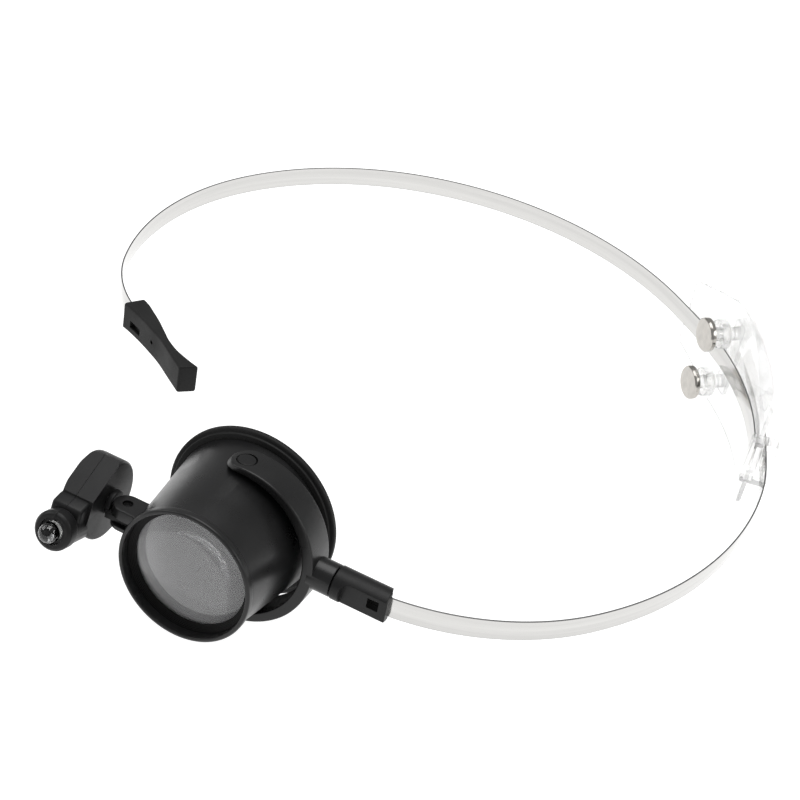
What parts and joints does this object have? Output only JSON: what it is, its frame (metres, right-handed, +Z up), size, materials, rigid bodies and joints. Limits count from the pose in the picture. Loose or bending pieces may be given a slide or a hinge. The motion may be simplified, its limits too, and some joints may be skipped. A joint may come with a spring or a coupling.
{
  "type": "headband loupe",
  "caption": "Single-eye magnifier on a spring-steel headband: a black barrel in a yoke that flips up, with a small tilting LED lamp on its side.",
  "frame": {"origin": "Centre of the head loop, at the mid-height of the steel band, where the wearer's head goes through it.", "axes": "+Z up, square to the plane of the band. -Y is the way the wearer looks, so the loupe's barrel is at -Y. +X is the wearer's left, where the band clips to the yoke."},
  "size_m": [0.1939, 0.2173, 0.0459],
  "materials": {
    "band_steel": "bright spring steel strip with rolled grain along its length",
    "stud_chrome": "turned and plated stud heads",
    "pin_steel": "plain steel pins and small metal parts",
    "cell_steel": "nickel-plated button cells",
    "contact_brass": "stamped brass contact",
    "clear_plastic": "clear moulded plastic",
    "black_plastic": "satin black moulded plastic",
    "barrel_black": "satin-gloss black moulded barrel",
    "retainer_black": "matt black ring with fine turned steps",
    "soft_black": "matt black soft plastic",
    "lamp_black": "satin black lamp housing",
    "lens_glass": "polished magnifying lens",
    "led_clear": "clear LED body"
  },
  "bodies": {
    "headband": {"band_loupe": "band_steel", "band_clip": "black_plastic", "rear_plate": "clear_plastic", "rear_clamp_block": "clear_plastic", "rear_slider": "clear_plastic", "stud_upper": "stud_chrome", "stud_lower": "stud_chrome", "stud_collar_upper": "clear_plastic", "stud_collar_lower": "clear_plastic"},
    "free_side": {"band_free": "band_steel", "end_pad": "soft_black"},
    "yoke": {"yoke": "black_plastic", "swivel_pin": "pin_steel", "swivel_washer": "soft_black", "yoke_pin_upper": "black_plastic", "yoke_pin_lower": "black_plastic"},
    "barrel": {"barrel_body": "barrel_black", "eyecup": "barrel_black", "lens": "lens_glass", "lens_retainer": "retainer_black", "lug_pin": "pin_steel"},
    "knuckle": {"lamp_knuckle": "black_plastic", "lamp_axle": "pin_steel"},
    "lamp": {"lamp_shell_left": "lamp_black", "lamp_shell_right": "lamp_black", "led": "led_clear", "led_leads": "pin_steel", "button_cells": "cell_steel", "cell_contact": "contact_brass", "shell_screw": "pin_steel", "switch_dome": "pin_steel"},
    "switch": {"switch_button": "soft_black"}
  },
  "joints": [
    {"name": "band_size", "type": "hinge", "parent": "headband", "child": "free_side", "pos_m": [0, 0, 0], "axis": [0, 0, 1], "range_deg": [-6, 12]},
    {"name": "flip_up", "type": "hinge", "parent": "headband", "child": "yoke", "pos_m": [0.018, -0.09, 0], "axis": [-1, 0, 0], "range_deg": [-20, 80]},
    {"name": "barrel_swing", "type": "hinge", "parent": "yoke", "child": "barrel", "pos_m": [-0.0102, -0.09, 0], "axis": [0, 0.0811, 0.9967], "range_deg": [-7, 18]},
    {"name": "lamp_swing", "type": "hinge", "parent": "barrel", "child": "knuckle", "pos_m": [-0.0335, -0.1008, 0.00088], "axis": [0, 0.0811, 0.9967], "range_deg": [-35, 40]},
    {"name": "lamp_tilt", "type": "hinge", "parent": "knuckle", "child": "lamp", "pos_m": [-0.0437, -0.09926, 0.00084], "axis": [-1, 0, 0], "range_deg": [-75, 75]},
    {"name": "switch_press", "type": "slide", "parent": "lamp", "child": "switch", "axis": [0, -0.9397, 0.342], "range_m": [0, 0.0008], "stiffness_N_per_m": 300, "springref_m": -0.0008}
  ]
}
